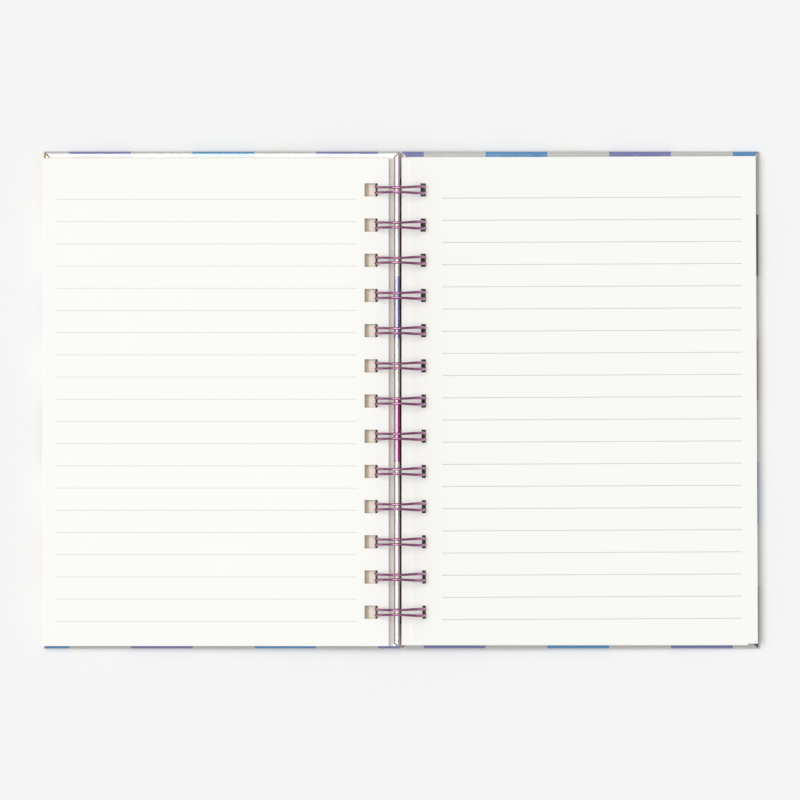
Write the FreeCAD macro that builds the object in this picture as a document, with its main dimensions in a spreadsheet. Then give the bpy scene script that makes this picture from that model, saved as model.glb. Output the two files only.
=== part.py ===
"""Open twin-loop notebook lying on its covers, as a parametric document in millimetres.

Frame: X runs across the open spread, to the right; Y runs up the page; Z is up. The
origin is on the table under the axis of the rings. Each half of the book is a flat pile
in a plane of its own, with its outer edge on the table and its gutter edge lifted by the
wire that passes under it. The pile is drawn in that plane: x along the cover, y up the
page, z square to the cover, with the origin under the ring axis.
"""
import FreeCAD, Part
import math
import os
import Sketcher

from FreeCAD import Rotation, Vector

DRIVING_SIZES = [
    ("page_width", 125.0, "B6 leaf"),
    ("page_height", 176.0, "B6 leaf"),
    ("cover_side_margin", 3.7, "by which a covered board is wider than a leaf"),
    ("cover_end_margin", 1.75, "by which it passes the leaf at head and at foot"),
    ("board_thickness", 2.3, "greyboard alone"),
    ("wrap_thickness", 0.2, "printed and laminated covering paper"),
    ("turn_in", 15.0, "width of the covering paper folded over the inner side"),
    ("cover_edge_radius", 0.9, "rounding of the covered edges"),
    ("endpaper_thickness", 0.15, "paper glued over the turn-ins"),
    ("endpaper_inset", 2.0, "from the cover's head, foot and outer edge"),
    ("endpaper_gutter_inset", 2.3, "from the cover's gutter edge"),
    ("cover_gap", 0.6, "between the gutter edges of the two covers"),
    ("gutter_offset", 0.4, "middle of that gap, to the right of the ring axis"),
    ("cover_lift", 2.95, "underside of the covers above the table, at the ring axis"),
    ("loop_count", 13, "double loops along the spine"),
    ("loop_pitch", 12.7, "from one double loop to the next"),
    ("binding_centre_y", -0.4, "middle of the row of loops"),
    ("ring_radius", 8.8, "centreline of the wire round the ring axis"),
    ("wire_diameter", 1.0, "mauve metal wire"),
    ("leg_spacing", 2.2, "between the two wires of a double loop"),
    ("root_bend_radius", 1.5, "where a wire leaves the spine line and becomes a loop"),
    ("tip_setback", 15.6, "degrees from the foot of the ring back to the loop's closed tip"),
    ("wire_end_length", 1.6, "cut end of the wire beyond its last bend"),
    ("hole_size", 4.8, "square punched holes, in covers and pages"),
    ("cover_hole_margin", 4.1, "from the cover's gutter edge to its holes"),
    ("page_hole_margin", 3.9, "from the page's gutter edge to its holes"),
    ("page_clearance", 0.1, "air between the endpaper and the lowest leaf"),
    ("left_stack", 3.6, "thickness of the leaves on the left"),
    ("left_ring_clearance", 0.4, "air between the rings and the hole edges of the top left leaf"),
    ("left_shear", 1.4, "how far the top left leaf has slid outward along the rings"),
    ("left_page_y", -0.8, "middle of the left pages"),
    ("right_stack", 3.0, "thickness of the leaves on the right under the top leaf"),
    ("right_gutter", 0.55, "gutter edge of the right leaves, right of the ring axis"),
    ("right_page_y", -0.5, "middle of the right pages"),
    ("top_leaf_thickness", 0.25, "top right leaf, with the leaf that clings to it"),
    ("top_leaf_slide", 3.15, "how far the top right leaf has slid outward"),
    ("top_leaf_turn", 0.25, "degrees that the top right leaf has turned, anticlockwise"),
]

FRONT, BACK = -1, 1
UP = Vector(0, 1, 0)
# Flat sides of the wire, and straight steps round each leg, closed tip and root bend.
WIRE_SIDES, LEG_STEPS, TIP_STEPS, BEND_STEPS = 6, 20, 4, 2
# A polygon with the area of the round wire has this circumradius, per wire radius.
SECTION_FACTOR = math.sqrt(2 * math.pi / (WIRE_SIDES * math.sin(2 * math.pi / WIRE_SIDES)))

COVER_THICKNESS = "(Sheet.board_thickness + 2 * Sheet.wrap_thickness)"
PAGE_BASE = f"({COVER_THICKNESS} + Sheet.endpaper_thickness + Sheet.page_clearance)"
COVER_WIDTH = "(Sheet.page_width + Sheet.cover_side_margin)"
HALF_HEIGHT = "(Sheet.page_height / 2 + Sheet.cover_end_margin)"
PATTERN_LENGTH = "((Sheet.loop_count - 1) * Sheet.loop_pitch)"
FIRST_LOOP_Y = f"(Sheet.binding_centre_y - {PATTERN_LENGTH} / 2)"
HALF_LEGS = "(Sheet.leg_spacing / 2)"
SPINE_RADIUS = "sqrt(Sheet.ring_radius ^ 2 + Sheet.root_bend_radius ^ 2)"
RING_AXIS_HEIGHT = f"({SPINE_RADIUS} + Sheet.wire_diameter / 2)"
RING_INSIDE = "(Sheet.ring_radius - Sheet.wire_diameter / 2)"
# The rings hold the top left leaf by the web between its gutter edge and its holes.
LEFT_WEB = "(Sheet.page_hole_margin + Sheet.left_ring_clearance)"
LEFT_GUTTER = f"({RING_INSIDE} - {LEFT_WEB} - Sheet.left_shear)"

doc = FreeCAD.newDocument("notebook")
sheet = doc.addObject("Spreadsheet::Sheet", "Sheet")


def fill_sheet():
    """Write each driving size in a row of its own: value, meaning and alias."""
    for row, (alias, value, meaning) in enumerate(DRIVING_SIZES, start=1):
        sheet.set(f"A{row}", alias)
        sheet.set(f"B{row}", str(value))
        sheet.set(f"C{row}", meaning)
        sheet.setAlias(f"B{row}", alias)
    doc.recompute()


def value(expression):
    """Return the number that an expression of the sheet's sizes comes to."""
    return float(sheet.evalExpression(expression))


def gutter_edge(side):
    """Return the expression for a cover's gutter edge, signed along x."""
    return f"(Sheet.gutter_offset + {side} * Sheet.cover_gap / 2)"


def from_gutter(side, distance):
    """Return the expression for a place on a cover, by its distance from the gutter edge."""
    return f"({gutter_edge(side)} + {side} * ({distance}))"


def bind_turn(thing, prop, axis, angle):
    """Turn a placement property about an axis by an expression of degrees."""
    placement = getattr(thing, prop)
    placement.Rotation = Rotation(axis, value(angle))
    setattr(thing, prop, placement)
    thing.setExpression(f"{prop}.Rotation.Angle", f"{angle} * 1deg")


def new_body(label):
    """Add an empty body whose label is the name of the piece."""
    body = doc.addObject("PartDesign::Body", label)
    body.Label = label
    return body


def lay_in_cover_plane(body, side):
    """Put a pile's piece in the tilted plane of its cover, with the outer edge on the table."""
    reach = f"({side} * {from_gutter(side, COVER_WIDTH)})"
    body.setExpression("Placement.Base.z", "Sheet.cover_lift")
    tilt = f"(asin(Sheet.cover_lift / {reach}) / 1deg)"
    bind_turn(body, "Placement", Vector(0, side, 0), tilt)


def origin_feature(body, role):
    """Return the body's own origin plane or axis with this role."""
    return next(f for f in body.Origin.OriginFeatures if f.Role == role)


def new_sketch(body, name, role, offsets=()):
    """Attach a sketch to an origin plane, moved by expressions along the plane's axes."""
    sketch = body.newObject("Sketcher::SketchObject", f"{body.Label}_{name}")
    sketch.AttachmentSupport = [(origin_feature(body, role), "")]
    sketch.MapMode = "FlatFace"
    for axis, distance in offsets:
        sketch.setExpression(f"AttachmentOffset.Base.{axis}", distance)
    return sketch


def bind_constraint(sketch, kind, places, expression):
    """Add a dimension between places of a sketch and bind it to an expression."""
    index = sketch.addConstraint(Sketcher.Constraint(kind, *places, value(expression)))
    sketch.setExpression(f"Constraints[{index}]", expression)


def join_ring(sketch, first, count):
    """Join the ends of edges that run round an outline one after another."""
    for step in range(count):
        following = first + (step + 1) % count
        sketch.addConstraint(Sketcher.Constraint("Coincident", first + step, 2, following, 1))


def add_rectangle(sketch, x_range, y_range):
    """Draw a rectangle between two x and two y expressions, bound from the sketch's origin."""
    xs = sorted(x_range, key=value)
    ys = sorted(y_range, key=value)
    corners = [(xs[0], ys[0]), (xs[1], ys[0]), (xs[1], ys[1]), (xs[0], ys[1])]
    points = [Vector(value(x), value(y), 0) for x, y in corners]
    first = sketch.GeometryCount
    for step in range(4):
        sketch.addGeometry(Part.LineSegment(points[step], points[(step + 1) % 4]), False)
    join_ring(sketch, first, 4)
    for step, kind in enumerate(("Horizontal", "Vertical", "Horizontal", "Vertical")):
        sketch.addConstraint(Sketcher.Constraint(kind, first + step))
    for corner in (0, 2):
        x, y = corners[corner]
        bind_constraint(sketch, "DistanceX", (-1, 1, first + corner, 1), x)
        bind_constraint(sketch, "DistanceY", (-1, 1, first + corner, 1), y)


def add_sheared_strip(sketch, x_range, z_range, shear):
    """Draw a strip of a sheared pile: flat faces, and ends curved as the rings push the leaves.

    Each end is an arc that stands upright at the top of the pile, where it is level with
    the ring axis, and has slid outward by the shear.
    """
    (right, left), (low, high) = x_range, z_range
    slide, rise = value(shear), value(high) - value(low)
    radius = (slide**2 + rise**2) / (2 * slide)
    sweep = math.asin(rise / radius)
    x_right, x_left, z_low, z_high = (value(e) for e in (right, left, low, high))
    first = sketch.GeometryCount

    def end_arc(x_low):
        centre = Vector(x_low - slide + radius, z_high, 0)
        circle = Part.Circle(centre, Vector(0, 0, 1), radius)
        return Part.ArcOfCircle(circle, math.pi, math.pi + sweep)

    sketch.addGeometry(end_arc(x_right), False)
    sketch.addGeometry(Part.LineSegment(Vector(x_right, z_low, 0), Vector(x_left, z_low, 0)), False)
    sketch.addGeometry(end_arc(x_left), False)
    top_left, top_right = Vector(x_left - slide, z_high, 0), Vector(x_right - slide, z_high, 0)
    sketch.addGeometry(Part.LineSegment(top_left, top_right), False)
    arc_right, base, arc_left, top = range(first, first + 4)
    for start, end in (((arc_right, 2), (base, 1)), ((base, 2), (arc_left, 2)),
                       ((arc_left, 1), (top, 1)), ((top, 2), (arc_right, 1))):
        sketch.addConstraint(Sketcher.Constraint("Coincident", *start, *end))
    sketch.addConstraint(Sketcher.Constraint("Horizontal", base))
    sketch.addConstraint(Sketcher.Constraint("Horizontal", top))
    for arc in (arc_right, arc_left):
        sketch.addConstraint(Sketcher.Constraint("Horizontal", arc, 3, arc, 1))
    bind_constraint(sketch, "DistanceX", (-1, 1, base, 1), right)
    bind_constraint(sketch, "DistanceX", (-1, 1, base, 2), left)
    bind_constraint(sketch, "DistanceY", (-1, 1, base, 1), low)
    bind_constraint(sketch, "DistanceY", (-1, 1, top, 1), high)
    bind_constraint(sketch, "DistanceX", (-1, 1, top, 1), f"({left} - {shear})")
    bind_constraint(sketch, "DistanceX", (-1, 1, top, 2), f"({right} - {shear})")


def pad(body, sketch, length, symmetric=False):
    """Pad a sketch by an expression, along its normal or to both sides."""
    feature = body.newObject("PartDesign::Pad", f"{sketch.Name}_pad")
    feature.Profile = sketch
    feature.SideType = "Symmetric" if symmetric else "One side"
    feature.setExpression("Length", length)
    doc.recompute()
    return feature


def pocket(body, sketch, depth, symmetric=False, reverse=False):
    """Cut a sketch out by an expression, against its normal, along it or to both sides."""
    before = body.Shape.Volume
    feature = body.newObject("PartDesign::Pocket", f"{sketch.Name}_pocket")
    feature.Profile = sketch
    feature.SideType = "Symmetric" if symmetric else "One side"
    feature.Reversed = reverse
    feature.setExpression("Length", depth)
    doc.recompute()
    if body.Shape.Volume >= before:
        raise RuntimeError(f"{feature.Name} cuts nothing")
    return feature


def repeat_along_spine(body, features, direction):
    """Repeat features at every loop, from the first one upward."""
    pattern = body.newObject("PartDesign::LinearPattern", f"{body.Label}_row")
    pattern.Originals = features
    pattern.Direction = direction
    pattern.setExpression("Length", PATTERN_LENGTH)
    pattern.setExpression("Occurrences", "Sheet.loop_count")
    body.Tip = pattern
    doc.recompute()
    return pattern


def punch_cover_holes(body, side):
    """Punch the row of square holes through a piece of the cover."""
    far = from_gutter(side, "Sheet.cover_hole_margin + Sheet.hole_size")
    sketch = new_sketch(body, "holes", "XY_Plane")
    add_rectangle(sketch, (from_gutter(side, "Sheet.cover_hole_margin"), far), first_hole_y_range())
    through = f"({COVER_THICKNESS} + Sheet.endpaper_thickness)"
    cut = pocket(body, sketch, through, reverse=True)
    repeat_along_spine(body, [cut], (sketch, ["V_Axis"]))


def first_hole_y_range():
    """Return the y expressions of the sides of the lowest hole."""
    return tuple(f"({FIRST_LOOP_Y} {sign} Sheet.hole_size / 2)" for sign in "-+")


def inset_rectangle(sketch, side, gutter_inset, inset):
    """Draw the outline of a cover, smaller by one inset at the gutter and one at its other edges."""
    x_range = (from_gutter(side, gutter_inset), from_gutter(side, f"{COVER_WIDTH} - {inset}"))
    add_rectangle(sketch, x_range, (f"({inset} - {HALF_HEIGHT})", f"({HALF_HEIGHT} - {inset})"))


def outline_edges(shape, height):
    """Name the level edges at a height that run along the outermost outline there."""
    tolerance = 0.01
    level = {}
    for index, edge in enumerate(shape.Edges, start=1):
        box = edge.BoundBox
        if abs(box.ZMin - height) < tolerance and abs(box.ZMax - height) < tolerance:
            level[f"Edge{index}"] = box.Center
    for axis in ("x", "y"):
        low = min(getattr(centre, axis) for centre in level.values())
        high = max(getattr(centre, axis) for centre in level.values())
        for name, centre in level.items():
            place = getattr(centre, axis)
            if min(place - low, high - place) < tolerance:
                yield name


def round_edges(body, base, heights, radius):
    """Round the level edges of a feature that lie near the given heights."""
    names = [name for height in heights for name in outline_edges(base.Shape, height)]
    feature = body.newObject("PartDesign::Fillet", f"{base.Name}_round")
    feature.Base = (base, names)
    feature.setExpression("Radius", radius)
    doc.recompute()
    return feature


def make_board_blank(label, side):
    """Greyboard before it is punched, with its edges rounded under the covering paper."""
    body = new_body(label)
    sketch = new_sketch(body, "outline", "XY_Plane", [("z", "Sheet.wrap_thickness")])
    inset_rectangle(sketch, side, "Sheet.wrap_thickness", "Sheet.wrap_thickness")
    board = pad(body, sketch, "Sheet.board_thickness")
    heights = (value("Sheet.wrap_thickness"), value("Sheet.wrap_thickness + Sheet.board_thickness"))
    round_edges(body, board, heights, "(Sheet.cover_edge_radius - Sheet.wrap_thickness)")
    return body


def make_board(label, side):
    """Greyboard stiffener of a cover."""
    body = make_board_blank(label, side)
    punch_cover_holes(body, side)
    lay_in_cover_plane(body, side)
    return body


def make_cover_wrap(label, side):
    """Printed covering paper: outer side, edges and turn-ins round the greyboard."""
    body = new_body(f"{label}_outside")
    sketch = new_sketch(body, "outline", "XY_Plane")
    inset_rectangle(sketch, side, "0", "0")
    blank = pad(body, sketch, COVER_THICKNESS)
    round_edges(body, blank, (0, value(COVER_THICKNESS)), "Sheet.cover_edge_radius")
    opening_sketch = new_sketch(body, "opening", "XY_Plane", [("z", COVER_THICKNESS)])
    inset_rectangle(opening_sketch, side, "Sheet.turn_in", "Sheet.turn_in")
    pocket(body, opening_sketch, "Sheet.wrap_thickness")
    punch_cover_holes(body, side)
    wrap = doc.addObject("Part::Cut", label)
    wrap.Label = label
    wrap.Base = body
    wrap.Tool = make_board_blank(f"{label}_inside", side)
    doc.recompute()
    lay_in_cover_plane(wrap, side)
    return wrap


def make_endpaper(label, side):
    """Endpaper over the turn-ins, with the filler that levels the board between them."""
    body = new_body(label)
    filler_base = f"({COVER_THICKNESS} - Sheet.wrap_thickness)"
    filler_sketch = new_sketch(body, "filler", "XY_Plane", [("z", filler_base)])
    inset_rectangle(filler_sketch, side, "Sheet.turn_in", "Sheet.turn_in")
    pad(body, filler_sketch, "Sheet.wrap_thickness")
    sketch = new_sketch(body, "outline", "XY_Plane", [("z", COVER_THICKNESS)])
    inset_rectangle(sketch, side, "Sheet.endpaper_gutter_inset", "Sheet.endpaper_inset")
    pad(body, sketch, "Sheet.endpaper_thickness")
    punch_cover_holes(body, side)
    lay_in_cover_plane(body, side)
    return body


def make_left_pages():
    """Left leaves: a pile that the rings have sheared, with the holes sheared as well."""
    body = new_body("left_pages")
    z_range = (PAGE_BASE, f"({PAGE_BASE} + Sheet.left_stack)")
    gutter = f"(-{LEFT_GUTTER})"
    outer = f"(-{LEFT_GUTTER} - Sheet.page_width)"
    sketch = new_sketch(body, "profile", "XZ_Plane", [("z", "-Sheet.left_page_y")])
    add_sheared_strip(sketch, (gutter, outer), z_range, "Sheet.left_shear")
    pad(body, sketch, "Sheet.page_height", symmetric=True)
    near = f"(-{LEFT_GUTTER} - Sheet.page_hole_margin)"
    far = f"({near} - Sheet.hole_size)"
    hole_sketch = new_sketch(body, "holes", "XZ_Plane", [("z", f"-{FIRST_LOOP_Y}")])
    add_sheared_strip(hole_sketch, (near, far), z_range, "Sheet.left_shear")
    cut = pocket(body, hole_sketch, "Sheet.hole_size", symmetric=True)
    repeat_along_spine(body, [cut], (origin_feature(body, "Y_Axis"), [""]))
    lay_in_cover_plane(body, FRONT)
    return body


def add_leaves(body, name, base, thickness, gutter, turn):
    """Pad a flat block of leaves, turned a little about the spine."""
    sketch = new_sketch(body, name, "XY_Plane", [("z", base)])
    bind_turn(sketch, "AttachmentOffset", Vector(0, 0, 1), turn)
    half = "Sheet.page_height / 2"
    y_range = (f"(Sheet.right_page_y - {half})", f"(Sheet.right_page_y + {half})")
    add_rectangle(sketch, (gutter, f"({gutter} + Sheet.page_width)"), y_range)
    pad(body, sketch, thickness)


def punch_leaves(body, name, base, thickness, gutter, turn):
    """Punch the row of holes through a flat block of leaves."""
    sketch = new_sketch(body, name, "XY_Plane", [("z", base)])
    bind_turn(sketch, "AttachmentOffset", Vector(0, 0, 1), turn)
    near = f"({gutter} + Sheet.page_hole_margin)"
    add_rectangle(sketch, (near, f"({near} + Sheet.hole_size)"), first_hole_y_range())
    cut = pocket(body, sketch, thickness, reverse=True)
    repeat_along_spine(body, [cut], (sketch, ["V_Axis"]))


def make_right_pages():
    """Right leaves: a square pile, and the top leaf that has slid outward and turned a little."""
    body = new_body("right_pages")
    pile = (PAGE_BASE, "Sheet.right_stack", "Sheet.right_gutter", "0")
    leaf_base = f"({PAGE_BASE} + Sheet.right_stack)"
    leaf_gutter = "(Sheet.right_gutter + Sheet.top_leaf_slide)"
    leaf = (leaf_base, "Sheet.top_leaf_thickness", leaf_gutter, "Sheet.top_leaf_turn")
    add_leaves(body, "pile", *pile)
    punch_leaves(body, "pile_holes", *pile)
    add_leaves(body, "leaf", *leaf)
    punch_leaves(body, "leaf_holes", *leaf)
    lay_in_cover_plane(body, BACK)
    return body


def ring_directions(angle):
    """Return the outward and the forward direction of the ring at an angle from the right."""
    outward = Vector(math.cos(angle), 0, math.sin(angle))
    forward = Vector(-math.sin(angle), 0, math.cos(angle))
    return outward, forward


def bend_stations(middle, start, heading, outward, turn, steps):
    """Walk round a bend that lies flat against the ring, as place, heading and outward side."""
    for step in range(steps + 1):
        angle = math.radians(turn) * step / steps
        arm = start * math.cos(angle) + heading * (start.Length * math.sin(angle))
        along = heading * math.cos(angle) - start * (math.sin(angle) / start.Length)
        yield middle + arm, along, outward


def leg_stations(y, angles, direction):
    """Walk round the ring at one y, forward or back, through the given angles."""
    for angle in angles:
        outward, forward = ring_directions(angle)
        yield outward * value("Sheet.ring_radius") + UP * y, forward * direction, outward


def loop_stations(y_middle):
    """Walk through one double loop: root bend, leg, closed tip, leg back and root bend."""
    bend_radius, half_legs = value("Sheet.root_bend_radius"), value(HALF_LEGS)
    root = math.atan(bend_radius / value("Sheet.ring_radius")) - math.pi / 2
    tip = math.radians(270 - value("Sheet.tip_setback"))
    angles = [root + (tip - root) * step / LEG_STEPS for step in range(LEG_STEPS + 1)]
    outward, forward = ring_directions(root)
    root_point = outward * value("Sheet.ring_radius")
    lower = root_point + UP * (y_middle - half_legs - bend_radius)
    upper = root_point + UP * (y_middle + half_legs + bend_radius)
    yield from bend_stations(lower, forward * -bend_radius, UP, outward, 90, BEND_STEPS)
    yield from leg_stations(y_middle - half_legs, angles[1:], 1)
    tip_outward, tip_forward = ring_directions(tip)
    tip_middle = tip_outward * value("Sheet.ring_radius") + UP * y_middle
    tip_walk = bend_stations(tip_middle, UP * -half_legs, tip_forward, tip_outward, 180, TIP_STEPS)
    yield from list(tip_walk)[1:]
    yield from leg_stations(y_middle + half_legs, angles[-2::-1], -1)
    bend_walk = bend_stations(upper, UP * -bend_radius, forward * -1, outward, 90, BEND_STEPS)
    yield from list(bend_walk)[1:]


def wire_section(place, heading, outward):
    """Return the corners of the wire's section, a polygon with the area of the round wire."""
    size = SECTION_FACTOR * value("Sheet.wire_diameter") / 2
    sideways = heading.cross(outward)
    turns = [(step + 0.5) * 2 * math.pi / WIRE_SIDES for step in range(WIRE_SIDES)]
    return [place + outward * (size * math.cos(t)) + sideways * (size * math.sin(t)) for t in turns]


def skin_sections(sections):
    """Return the solid whose flat sides join each section to the next, closed at both ends."""
    outlines = [sections[0], sections[-1]]
    for near, far in zip(sections, sections[1:]):
        for corner in range(WIRE_SIDES):
            following = (corner + 1) % WIRE_SIDES
            outlines.append([near[corner], near[following], far[following], far[corner]])
    faces = [Part.Face(Part.makePolygon(outline + outline[:1])) for outline in outlines]
    shell = Part.makeShell(faces)
    shell.sewShape()
    return Part.makeSolid(shell)


def make_twin_loop_wire():
    """One wire bent into a comb of double loops, closed into rings round the spine.

    Each loop rises from the spine line under the book, goes round the ring as two legs and
    ends in a closed tip beside the spine line again. Straight runs join loop to loop.
    """
    stations = []
    for loop in range(round(value("Sheet.loop_count"))):
        stations += loop_stations(value(FIRST_LOOP_Y) + loop * value("Sheet.loop_pitch"))
    end = UP * value("Sheet.wire_end_length")
    stations.insert(0, (stations[0][0] - end, *stations[0][1:]))
    stations.append((stations[-1][0] + end, *stations[-1][1:]))
    wire = doc.addObject("Part::Feature", "twin_loop_wire")
    wire.Label = "twin_loop_wire"
    wire.Shape = skin_sections([wire_section(*station) for station in stations])
    wire.setExpression("Placement.Base.z", RING_AXIS_HEIGHT)
    return wire


def export(body):
    """Write a piece to a file of its own name."""
    body.Shape.exportStep(os.path.join("parts", f"{body.Label}.step"))


def check_document(bodies):
    """Stop if any object failed or any piece lacks a valid solid."""
    for thing in doc.Objects:
        if "Invalid" in thing.State or "Error" in thing.State:
            raise RuntimeError(f"{thing.Name} failed: {thing.State}")
    for body in bodies:
        if body.Shape.isNull() or not body.Shape.isValid():
            raise RuntimeError(f"{body.Label} has no valid shape")


def main():
    """Build every piece, check them and write them out."""
    fill_sheet()
    bodies = [
        make_cover_wrap("front_cover_wrap", FRONT),
        make_board("front_board", FRONT),
        make_endpaper("front_endpaper", FRONT),
        make_left_pages(),
        make_cover_wrap("back_cover_wrap", BACK),
        make_board("back_board", BACK),
        make_endpaper("back_endpaper", BACK),
        make_right_pages(),
        make_twin_loop_wire(),
    ]
    doc.recompute()
    check_document(bodies)
    os.makedirs("parts", exist_ok=True)
    for body in bodies:
        export(body)
        box = body.Shape.BoundBox
        print(body.Label, len(body.Shape.Solids), round(body.Shape.Volume, 2), box)


main()
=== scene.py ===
"""Open twin-loop notebook: covers, leaves and wire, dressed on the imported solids.

Lengths are in metres. X runs across the open spread to the right, Y runs up the page and
Z is up, with the origin on the table under the axis of the rings.
"""

import logging
import math
import random
from dataclasses import dataclass
from enum import Enum

import bpy
from mathutils import Matrix, Vector

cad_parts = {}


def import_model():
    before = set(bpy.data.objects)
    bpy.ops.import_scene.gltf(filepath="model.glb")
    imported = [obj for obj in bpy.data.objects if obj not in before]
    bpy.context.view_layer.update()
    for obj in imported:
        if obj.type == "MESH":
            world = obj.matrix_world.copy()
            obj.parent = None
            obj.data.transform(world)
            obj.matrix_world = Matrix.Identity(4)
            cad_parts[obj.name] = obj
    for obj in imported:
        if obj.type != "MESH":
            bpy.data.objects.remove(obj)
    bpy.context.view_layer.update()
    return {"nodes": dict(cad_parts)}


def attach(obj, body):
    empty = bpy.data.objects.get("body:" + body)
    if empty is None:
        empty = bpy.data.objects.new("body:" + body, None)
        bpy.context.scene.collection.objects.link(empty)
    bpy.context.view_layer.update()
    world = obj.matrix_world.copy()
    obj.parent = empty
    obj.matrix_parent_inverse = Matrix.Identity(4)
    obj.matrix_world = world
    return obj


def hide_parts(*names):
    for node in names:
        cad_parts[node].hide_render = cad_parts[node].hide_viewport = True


LOG = logging.getLogger("notebook")
MM = 0.001

# Nearly all of a noise pattern lies between these two values.
NOISE_LOW = 0.3
NOISE_HIGH = 0.7

# How far a normal points up: on a face that looks up at all, and where a face starts and ends
# its step to a level one.
FACING_UP = 0.5
LEVEL_FROM = 0.8
LEVEL_FULL = 0.95

Triple = tuple[float, float, float]
Colour = Triple
Rgba = tuple[float, float, float, float]
Span = tuple[float, float]
Socket = bpy.types.NodeSocket
Operand = float | Socket
Paint = Colour | Socket


class Side(Enum):
    """The two halves of the open book, by the sign of their x."""

    LEFT = -1
    RIGHT = 1


class Mix(Enum):
    """How one colour goes over another."""

    COVER = "MIX"
    TINT = "MULTIPLY"


@dataclass(frozen=True)
class Spread:
    """Sizes that the covers, the leaves and the wire share."""

    ring_radius: float = 8.8 * MM
    root_bend_radius: float = 1.5 * MM
    wire_radius: float = 0.5 * MM
    loop_pitch: float = 12.7 * MM
    loop_count: int = 13
    binding_y: float = -0.4 * MM
    cover_lift: float = 2.95 * MM
    cover_width: float = 128.7 * MM
    cover_half_height: float = 89.75 * MM
    cover_thickness: float = 2.7 * MM
    gutter_middle: float = 0.4 * MM
    gutter_half_gap: float = 0.3 * MM
    page_base: float = 2.95 * MM
    page_width: float = 125.0 * MM
    page_height: float = 176.0 * MM
    page_hole_margin: float = 3.9 * MM
    hole_size: float = 4.8 * MM

    @property
    def spine_drop(self) -> float:
        """Return how far the spine line of the wire lies below the ring axis."""
        return math.hypot(self.ring_radius, self.root_bend_radius)

    @property
    def ring_axis_height(self) -> float:
        """Return the height of the ring axis, with the spine wire lying on the table."""
        return self.spine_drop + self.wire_radius

    @property
    def first_loop_y(self) -> float:
        """Return where the lowest loop stands along the spine."""
        return self.binding_y - (self.loop_count - 1) * self.loop_pitch / 2

    def loop_ys(self) -> list[float]:
        """Return where every loop stands, from the foot of the book up."""
        return [self.first_loop_y + index * self.loop_pitch for index in range(self.loop_count)]

    def gutter_edge(self, side: Side) -> float:
        """Return the x of a cover's gutter edge."""
        return self.gutter_middle + side.value * self.gutter_half_gap

    def outer_edge(self, side: Side) -> float:
        """Return the x of a cover's outer edge."""
        return self.gutter_edge(side) + side.value * self.cover_width

    def tilt(self, side: Side) -> float:
        """Return the turn about Y that lays a flat pile in its cover's plane."""
        reach = side.value * self.outer_edge(side)
        return side.value * math.asin(self.cover_lift / reach)

    def lay_matrix(self, side: Side) -> Matrix:
        """Return the move from a flat pile to its tilted place on the table."""
        lift = Matrix.Translation((0.0, 0.0, self.cover_lift))
        return lift @ Matrix.Rotation(self.tilt(side), 4, "Y")


SPREAD = Spread()


@dataclass(frozen=True)
class Patches:
    """Where a noise pattern shows: from one of its values on, fully at another, and how much."""

    start: float
    full: float
    share: float = 1.0


@dataclass(frozen=True)
class Relief:
    """How far a pattern raises the surface, and how strongly that shows."""

    height: float
    strength: float


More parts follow.
